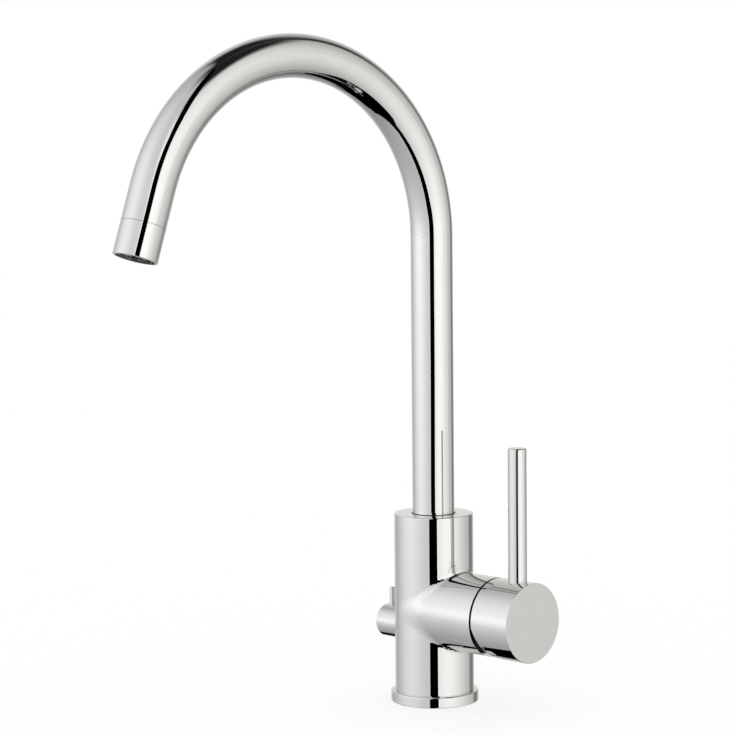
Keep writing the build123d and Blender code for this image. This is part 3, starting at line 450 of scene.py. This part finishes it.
def sealing_rubber(name, tones, rough, grain_mm, grain_depth_mm, talc_mm, most_talc):
    """Black rubber seals: matt and faintly dusty with the talc of the mould, with a soft grain, drawn coarser than
    the real one so that it shows."""
    material, tree = start_material(name)
    place = add_node(tree, "ShaderNodeTexCoord").outputs["Object"]
    grain = add_node(
        tree, "ShaderNodeTexNoise", named={"Vector": place, "Scale": 1 / (grain_mm * MM), "Detail": 4.0}
    )
    talc = add_node(
        tree, "ShaderNodeTexNoise", named={"Vector": place, "Scale": 1 / (talc_mm * MM), "Detail": 6.0}
    )
    dust = add_node(tree, "ShaderNodeMapRange", talc, *TALC_SPAN, 0.0, most_talc)
    tones = {MIX_FROM: linear(tones[0]), MIX_TO: linear(tones[1])}
    colour = add_node(tree, "ShaderNodeMix", dust, named=tones, data_type="RGBA").outputs[MIX_OUT]
    bump = add_node(
        tree, "ShaderNodeBump", named={"Strength": 1.0, "Distance": grain_depth_mm * MM, "Height": grain}
    )
    rubber = {"Base Color": colour, "Roughness": rough, "Normal": bump}
    add_node(tree, "ShaderNodeOutputMaterial", add_node(tree, "ShaderNodeBsdfPrincipled", named=rubber))
    return material


def lapped_ceramic(name, tones, rough, ior, speck_mm, speck_edge):
    """Ceramic discs, ground and lapped flat: ivory white and glossy, with faint grey specks of the grain, drawn
    coarser than the real ones so that they show."""
    material, tree = start_material(name)
    place = add_node(tree, "ShaderNodeTexCoord").outputs["Object"]
    specks = add_node(tree, "ShaderNodeTexVoronoi", named={"Vector": place, "Scale": 1 / (speck_mm * MM)})
    near = add_node(tree, "ShaderNodeMapRange", specks.outputs["Distance"], 0.0, speck_edge, 1.0, 0.0)
    tones = {MIX_FROM: linear(tones[0]), MIX_TO: linear(tones[1])}
    colour = add_node(tree, "ShaderNodeMix", near, named=tones, data_type="RGBA").outputs[MIX_OUT]
    gloss = add_node(tree, "ShaderNodeMapRange", near, 0.0, 1.0, *rough)
    ceramic = {"Base Color": colour, "Roughness": gloss, "IOR": ior}
    add_node(tree, "ShaderNodeOutputMaterial", add_node(tree, "ShaderNodeBsdfPrincipled", named=ceramic))
    return material


# Chrome: castings are ground and polished by hand, so their mirror waves more than that of bar and drawn tube.
# The cap is a casting whose hollow shows only through its seam, as a dark line: the hollow's dark colour is
# painted shade.
CAST_POLISH = dict(wave_mm=26, wave_depth_mm=0.020, haze=(0.010, 0.026))
CAP_HOLLOW = dict(radius=22.2, end=60.6, height=MIXER_Z)
CAST_CHROME = chrome_plate("polished_chrome_on_cast_brass", **CAST_POLISH)
BAR_CHROME = chrome_plate("polished_chrome_on_brass_bar", wave_mm=32, wave_depth_mm=0.008, haze=(0.008, 0.020))
CAP_CHROME = chrome_plate("polished_chrome_on_cast_brass_cap", **CAST_POLISH, hollow=CAP_HOLLOW)
TUBE_CHROME = chrome_plate("polished_chrome_on_drawn_tube", wave_mm=40, wave_depth_mm=0.010, haze=(0.010, 0.022))
# Bare brass: a warm yellow, with rings round the axis that each piece was turned on.
BRASS = dict(tones=("D9BC76", "C6A45C"), rough=(0.16, 0.30), feed_mm=0.30, groove_mm=0.004)
UPRIGHT_BRASS = turned_metal("turned_brass_upright", **BRASS, centre=(0, 0, 0), axis=(0, 0, 1))
MIXER_BRASS = turned_metal("turned_brass_mixer", **BRASS, centre=(0, 0, MIXER_Z), axis=(1, 0, 0))
VALVE_BRASS = turned_metal("turned_brass_filter_valve", **BRASS, centre=(0, 0, FILTER_Z), axis=(1, 0, 0))
NOSE_BRASS = turned_metal("turned_brass_outlet", **BRASS, centre=OUTLET_AT, axis=OUTLET_WAY)
# Stainless steel: a cool light grey. The screw is turned, and the stem and its pin are ground, which is duller.
STEEL_TONES = ("C9CBCC", "B4B6B8")
SCREW_STEEL = turned_metal(
    "turned_stainless_steel", STEEL_TONES, rough=(0.20, 0.34), feed_mm=0.25, groove_mm=0.003,
    centre=(0, 0, KEEPER_Z), axis=(0, 1, 0),
)
STEM_STEEL = turned_metal(
    "ground_stainless_steel", STEEL_TONES, rough=(0.24, 0.38), feed_mm=0.35, groove_mm=0.003,
    centre=(0, 0, MIXER_Z), axis=(1, 0, 0),
)
RUBBER = sealing_rubber(
    "moulded_epdm_rubber", ("171717", "3B3B3A"), rough=0.72, grain_mm=0.4, grain_depth_mm=0.01, talc_mm=3,
    most_talc=0.5,
)
CERAMIC = lapped_ceramic(
    "lapped_alumina", ("EFE8DA", "DDD5C6"), rough=(0.12, 0.24), ior=1.77, speck_mm=0.6, speck_edge=0.25
)
# Acetal: a dense, slightly waxy satin. Glass in nylon makes it paler, duller and rougher. The polyethylene tube is
# milky, because light goes some way into it.
ACETAL_GRAIN = dict(grain_mm=0.25, grain_depth_mm=0.004)
BLACK_ACETAL = moulded_plastic("black_acetal", ("0E0E0F", "151516"), (0.34, 0.46), **ACETAL_GRAIN)
GREY_ACETAL = moulded_plastic("grey_acetal", ("3A3B3D", "47484A"), (0.36, 0.48), **ACETAL_GRAIN)
WHITE_ACETAL = moulded_plastic("white_acetal", ("ECECE8", "DFDFDA"), (0.34, 0.46), **ACETAL_GRAIN)
GLASS_NYLON = moulded_plastic(
    "glass_filled_nylon", ("D9D8CF", "C9C8BE"), (0.42, 0.58), grain_mm=0.35, grain_depth_mm=0.010
)
POLYTHENE = moulded_plastic(
    "natural_polyethylene_tube", ("DCDED9", "D2D5CF"), (0.30, 0.40), grain_mm=0.8, grain_depth_mm=0.004,
    cloudy={"Subsurface Weight": 0.3, "Subsurface Scale": 0.002},
)

NODE_MATERIALS = {
    CAST_CHROME: ("body_casting", "base_ring", "dome_ring", "filter_knob"),
    CAP_CHROME: ("handle_cap",),
    BAR_CHROME: ("lever_rod", "filter_pin"),
    TUBE_CHROME: ("spout_tube", "aerator_housing"),
    UPRIGHT_BRASS: ("inlet_manifold", "spout_adapter", "filter_tube_nipple"),
    MIXER_BRASS: ("cartridge_nut",),
    VALVE_BRASS: ("filter_valve_body", "filter_spindle"),
    NOSE_BRASS: ("spout_nose_insert",),
    SCREW_STEEL: ("spout_grub_screw",),
    STEM_STEEL: ("stem_pin", "cartridge_stem", "handle_grub_screw"),
    RUBBER: (
        "base_seal", "manifold_seal", "spout_o_rings", "nipple_o_ring", "aerator_seal", "cartridge_seals",
        "filter_body_o_ring", "filter_seat_seal", "spindle_o_ring",
    ),
    CERAMIC: ("fixed_ceramic_disc", "moving_ceramic_disc", "filter_fixed_disc", "filter_moving_disc"),
    BLACK_ACETAL: ("spout_slip_ring",),
    GREY_ACETAL: ("aerator_insert", "filter_nozzle", "disc_coupler", "cartridge_turret", "screw_cover"),
    WHITE_ACETAL: ("spout_thrust_washer", "spout_lower_bush"),
    GLASS_NYLON: ("cartridge_base", "cartridge_housing"),
    POLYTHENE: ("filter_tube",),
}
for material, names in NODE_MATERIALS.items():
    for name in names:
        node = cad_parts[name]
        node.data.materials.clear()
        node.data.materials.append(material)


# ---------------------------------------------------------------- body casting

# The casting is ground and polished by hand where the branch leaves it, which wears the inner corner to a soft
# blend: narrow over and under the branch, and broad at its sides, where the two rounds nearly touch. Sizes in mm.
SKIN_SIDES = 192
SKIN_ROW = 0.9
LONG_EDGE = 10 * SKIN_ROW
SEAM_CORNERS = range(5, SKIN_SIDES // 4)  # how many corners a cut facet along the seam has
BLEND = 2.0  # how far out of one round the blend leaves the other
BLEND_FADE = (3.0, -7.0)  # x where the blend starts to fade out round the body, and where it is gone
DEEPEST_FILL = BLEND / 3
ON_SKIN = 0.03  # how far a corner may be from the true skin and still belong to it
NEARLY_SQUARE = cos(radians(14))
EDGE_STEPS = 4
A_HAIR = 0.01  # how far under an end an edge may lie and still belong to it
OVERCUT = 1.0  # how far a bore runs on into open air or the next bore
WIDE_BORE = 6  # radius from which a bore is drawn with more sides
WIDE_SIDES, NARROW_SIDES = 128, 48
CRISP = 32  # degrees: edges that turn by more stay crisp

PLUG_TOP = 16.0  # top of the inlet plug's pocket
SOCKET_FLOOR = 78.0  # floor of the spout's socket
CHAMBER_FLOOR = 12.0  # along X from here: the cartridge's chamber, its nut's thread and the seat of the dome
NUT_START = 36.6
DOME_SEAT = 47.0
VALVE_END = -8.0  # along X out to the left: the filter valve's chamber, its thread and the knob's recess
VALVE_THREAD = -13.0
KNOB_RECESS = -21.0
WAYS_TOP = 65.7
NIPPLE_FLOOR = 64.0
PEG_FLOOR, PEG_SIDE, PEG_Z = 9.3, 12.5, MIXER_Z - 4.0
PORTS_Z = MIXER_Z + 6.5  # the cartridge's ports: hot and cold at this height, mixed at the next
MIXED_Z = MIXER_Z - 8.5
MIXED_AT = (7.6, 0)  # x and y of the way up to the spout, and of the filtered way up from the valve
RISER_AT = (-10.5, 0)
# radius, start and end along the axis, axis, and where the axis lies beside and over
BORES = (
    (20.45, BODY_FOOT - OVERCUT, PLUG_TOP, "Z", 0, 0),
    (13.00, SOCKET_FLOOR, BODY_TOP + OVERCUT, "Z", 0, 0),
    (4.05, NIPPLE_FLOOR, SOCKET_FLOOR + OVERCUT, "Z", 0, 0),  # socket of the filter nipple
    (17.60, CHAMBER_FLOOR, NUT_START + OVERCUT, "X", 0, MIXER_Z),
    (18.50, NUT_START, DOME_SEAT + OVERCUT, "X", 0, MIXER_Z),
    (21.85, DOME_SEAT, BRANCH_END + OVERCUT, "X", 0, MIXER_Z),
    (1.80, PEG_FLOOR, CHAMBER_FLOOR + OVERCUT, "X", PEG_SIDE, PEG_Z),  # holes of the cartridge's pegs
    (1.80, PEG_FLOOR, CHAMBER_FLOOR + OVERCUT, "X", -PEG_SIDE, PEG_Z),
    (3.00, PLUG_TOP - OVERCUT, WAYS_TOP, "Z", *COLD_AT),  # hot and cold ways
    (3.00, PLUG_TOP - OVERCUT, WAYS_TOP, "Z", *HOT_AT),
    (2.60, COLD_AT[0], CHAMBER_FLOOR + OVERCUT, "X", COLD_AT[1], PORTS_Z),
    (2.60, HOT_AT[0], CHAMBER_FLOOR + OVERCUT, "X", HOT_AT[1], PORTS_Z),
    (2.60, 6.0, CHAMBER_FLOOR + OVERCUT, "X", 0, MIXED_Z),  # mixed water
    (2.60, MIXED_Z, SOCKET_FLOOR + OVERCUT, "Z", *MIXED_AT),
    (7.20, VALVE_THREAD - OVERCUT, VALVE_END, "X", 0, FILTER_Z),
    (8.35, KNOB_RECESS - OVERCUT, VALVE_THREAD, "X", 0, FILTER_Z),
    (10.15, -BODY_RADIUS - OVERCUT, KNOB_RECESS, "X", 0, FILTER_Z),
    (2.40, PLUG_TOP - OVERCUT, 45.8, "Z", *FILTERED_AT),  # filtered water in and out
    (2.40, VALVE_END - OVERCUT, FILTERED_AT[0], "X", 0, FILTER_Z),
    (1.90, FILTER_Z, CROSS_Z, "Z", *RISER_AT),
    (1.90, RISER_AT[0], 0.0, "X", 0, CROSS_Z),
)


def skin_at(point):
    """The way out of the skin near a point in mm, how far the point is out of it, and how much it is blended."""
    round_body = Vector((point.x, point.y, 0))
    round_branch = Vector((0, point.y, point.z - MIXER_Z))
    off_body = round_body.length - BODY_RADIUS
    fade = min(max((BLEND_FADE[0] - point.x) / (BLEND_FADE[0] - BLEND_FADE[1]), 0.0), 1.0)
    off_branch = round_branch.length - BRANCH_RADIUS + BLEND * fade**2
    share = min(max(0.5 + 0.5 * (off_branch - off_body) / BLEND, 0.0), 1.0) if fade < 1 else 1.0
    way = (round_body.normalized() * share + round_branch.normalized() * (1 - share)).normalized()
    blended = share * (1 - share)
    return way, off_body * share + off_branch * (1 - share) - BLEND * blended, blended


def add_rows(piece):
    """Divides the long edges of a drum into even rows."""
    pick(piece, "EDGE", lambda corners: (corners[0] - corners[1]).length > LONG_EDGE)
    bpy.ops.object.mode_set(mode="OBJECT")
    mesh = piece.data
    long_edge = next(edge for edge in mesh.edges if edge.select)
    start, end = [mesh.vertices[i].co / MM for i in long_edge.vertices]
    bpy.ops.object.mode_set(mode="EDIT")
    bpy.ops.mesh.subdivide(number_cuts=round((start - end).length / SKIN_ROW) - 1)
    bpy.ops.object.mode_set(mode="OBJECT")


def polish_corner(piece):
    """Fills the inner corner of body and branch to the soft blend."""
    group = piece.vertex_groups.new(name="corner")
    for vertex in piece.data.vertices:
        way, off, blended = skin_at(vertex.co / MM)
        if blended > 0 and abs(off) < DEEPEST_FILL:
            group.add([vertex.index], min(-off / DEEPEST_FILL, 1.0) if off < 0 else 0.0, "REPLACE")
    apply_modifier(
        piece, "DISPLACE", vertex_group="corner", direction="NORMAL", strength=DEEPEST_FILL * MM, mid_level=0.0
    )
    piece.vertex_groups.clear()


def shade_skin(piece):
    """Polished metal shows each facet, so the corners on the skin get the normals of the true rounds and blend."""
    mesh = piece.data
    normals = [Vector(corner.vector) for corner in mesh.corner_normals]
    for face in mesh.polygons:
        for i in face.loop_indices:
            way, off, blended = skin_at(mesh.vertices[mesh.loops[i].vertex_index].co / MM)
            if abs(off) < ON_SKIN + blended and face.normal.dot(way) > NEARLY_SQUARE:
                normals[i] = way
    mesh.normals_split_custom_set(normals)


def cast_body():
    """One brass casting, chromed outside: body and branch, their inner corner polished, and then the bores."""
    body = drum("cast_body", CAST_CHROME, BODY_RADIUS, BODY_FOOT, BODY_TOP, SKIN_SIDES)
    pick(body, "EDGE", lambda corners: all(corner.z > BODY_TOP - A_HAIR for corner in corners))
    bpy.ops.mesh.bevel(offset=BODY_EDGE * MM, segments=EDGE_STEPS)
    add_rows(body)
    branch = drum("branch", CAST_CHROME, BRANCH_RADIUS, 0.0, BRANCH_END, SKIN_SIDES, "X", 0.0, MIXER_Z)
    add_rows(branch)
    combine(body, branch, "UNION")
    # the cut facets along the seam are many-sided, and would fold when the corner is filled
    pick(body, "FACE", lambda corners: len(corners) in SEAM_CORNERS)
    bpy.ops.mesh.quads_convert_to_tris(quad_method="BEAUTY", ngon_method="BEAUTY")
    bpy.ops.object.mode_set(mode="OBJECT")
    polish_corner(body)
    for radius, start, end, along, beside, over in BORES:
        brass = MIXER_BRASS if along == "X" else UPRIGHT_BRASS
        sides = WIDE_SIDES if radius > WIDE_BORE else NARROW_SIDES
        combine(body, drum("bore", brass, radius, start, end, sides, along, beside, over), "DIFFERENCE")
    # the keeper screw's hole is drawn along X and turned to the back; with no window, rotate turns the other way
    keeper = drum(
        "bore", UPRIGHT_BRASS, KEEPER_RADIUS, 0.0, BODY_RADIUS + OVERCUT, NARROW_SIDES, "X", 0.0, KEEPER_Z
    )
    work_on(keeper)
    bpy.ops.transform.rotate(value=radians(-90), orient_axis="Z", center_override=(0, 0, 0))
    bpy.ops.object.transform_apply(location=True, rotation=True, scale=True)
    combine(body, keeper, "DIFFERENCE")
    smooth(body, CRISP)
    shade_skin(body)
    ride_as(body, "tap_body")
    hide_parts("body_casting")


# ---------------------------------------------------------------- slip ring

# Radii of its bore, skirt and lip, how deep the skirt and how high the lip is, and the lip's rounded edge.
SLIP_RING = dict(bore=12.55, skirt=12.98, lip=13.12, skirt_depth=3.7, lip_height=0.25, edge=0.08, edge_steps=2)


def slip_ring():
    """The plastic ring that the spout turns in. Its thin lip shows as a hairline round the foot of the tube."""
    size = SLIP_RING
    middle = BODY_TOP + size["lip_height"] / 2
    foot = BODY_TOP - size["skirt_depth"]
    ring = drum("slip_ring", BLACK_ACETAL, size["lip"], BODY_TOP, BODY_TOP + size["lip_height"], SKIN_SIDES)
    pick(ring, "EDGE", lambda corners: all(corner.z > middle for corner in corners))
    bpy.ops.mesh.bevel(offset=size["edge"] * MM, segments=size["edge_steps"])
    bpy.ops.object.mode_set(mode="OBJECT")
    combine(ring, drum("skirt", BLACK_ACETAL, size["skirt"], foot, middle, SKIN_SIDES), "UNION")
    bore = drum("bore", BLACK_ACETAL, size["bore"], foot - OVERCUT, BODY_TOP + OVERCUT, SKIN_SIDES)
    combine(ring, bore, "DIFFERENCE")
    smooth(ring, CRISP)
    ride_as(ring, "tap_body")
    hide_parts("spout_slip_ring")


# ---------------------------------------------------------------- inlet threads

# The ridges of the tapped holes under the body: radius of the hole's wall and of the ridge's tip, pitch, and depth
# from the plug's lower face to the thread's end.
HOSE_THREAD = dict(wall=4.55, tip=4.46, pitch=1.0, depth=12.0)
STUD_THREAD = dict(wall=3.40, tip=3.32, pitch=1.25, depth=11.0)
TOOTH_HALF = 0.42  # half the width of a tooth's foot, in pitches
TOOTH_SINK = 0.03  # how far a tooth's foot goes into the wall
THREAD_GAP = 0.3  # what stays clear at each end of the hole
THREAD_STEPS = 40
THREAD_CRISP = 40
SAME_PLACE = 0.001


def wind_thread(name, wall, tip, pitch, depth):
    """The ridge of a tapped thread round the Z axis: a tooth drawn once and wound up the hole."""
    clear_selection()
    half = pitch * TOOTH_HALF
    bpy.ops.mesh.primitive_circle_add(
        vertices=3, radius=half * MM, location=(0, 0, 0), rotation=(radians(90), 0, 0), calc_uvs=False
    )
    thread = bpy.context.object
    thread.name = name
    thread.data.materials.append(UPRIGHT_BRASS)
    bpy.ops.object.transform_apply(location=True, rotation=True, scale=True)
    foot = BODY_FOOT + THREAD_GAP
    tooth = ((wall + TOOTH_SINK, foot), (wall + TOOTH_SINK, foot + 2 * half), (tip, foot + half))
    for corner, (out, up) in zip(thread.data.vertices, tooth):
        corner.co = (out * MM, 0, up * MM)
    apply_modifier(
        thread, "SCREW", angle=radians(360), steps=THREAD_STEPS, render_steps=THREAD_STEPS,
        iterations=int((depth - 2 * THREAD_GAP - pitch) / pitch), screw_offset=pitch * MM, axis="Z",
        use_merge_vertices=True, merge_threshold=SAME_PLACE * MM,
    )
    bpy.ops.object.mode_set(mode="EDIT")
    bpy.ops.mesh.select_all(action="SELECT")
    bpy.ops.mesh.remove_doubles(threshold=SAME_PLACE * MM)
    bpy.ops.mesh.select_all(action="DESELECT")
    bpy.ops.mesh.select_mode(type="EDGE")
    bpy.ops.mesh.select_non_manifold(
        extend=False, use_wire=False, use_multi_face=False, use_non_contiguous=False, use_verts=False
    )
    bpy.ops.mesh.edge_face_add()
    bpy.ops.mesh.select_all(action="SELECT")
    bpy.ops.mesh.normals_make_consistent(inside=False)
    smooth(thread, THREAD_CRISP)
    return thread


def copy_thread(thread, name):
    """The same ridge again, with its own mesh."""
    work_on(thread)
    bpy.ops.object.duplicate(linked=False)
    twin = bpy.context.object
    twin.name = name
    return twin


def fit_thread(thread, place):
    """Moves a ridge from the Z axis into its hole."""
    work_on(thread)
    bpy.ops.object.mode_set(mode="EDIT")
    bpy.ops.mesh.select_all(action="SELECT")
    bpy.ops.transform.translate(value=(place[0] * MM, place[1] * MM, 0))
    bpy.ops.object.mode_set(mode="OBJECT")
    ride_as(thread, "tap_body")


cast_body()
slip_ring()
hot_thread = wind_thread("hot_inlet_thread", **HOSE_THREAD)
cold_thread = copy_thread(hot_thread, "cold_inlet_thread")
filter_thread = copy_thread(hot_thread, "filter_inlet_thread")
stud_thread = wind_thread("stud_hole_thread", **STUD_THREAD)
fit_thread(hot_thread, HOT_AT)
fit_thread(cold_thread, COLD_AT)
fit_thread(filter_thread, FILTERED_AT)
fit_thread(stud_thread, STUD_AT)

clear_selection()
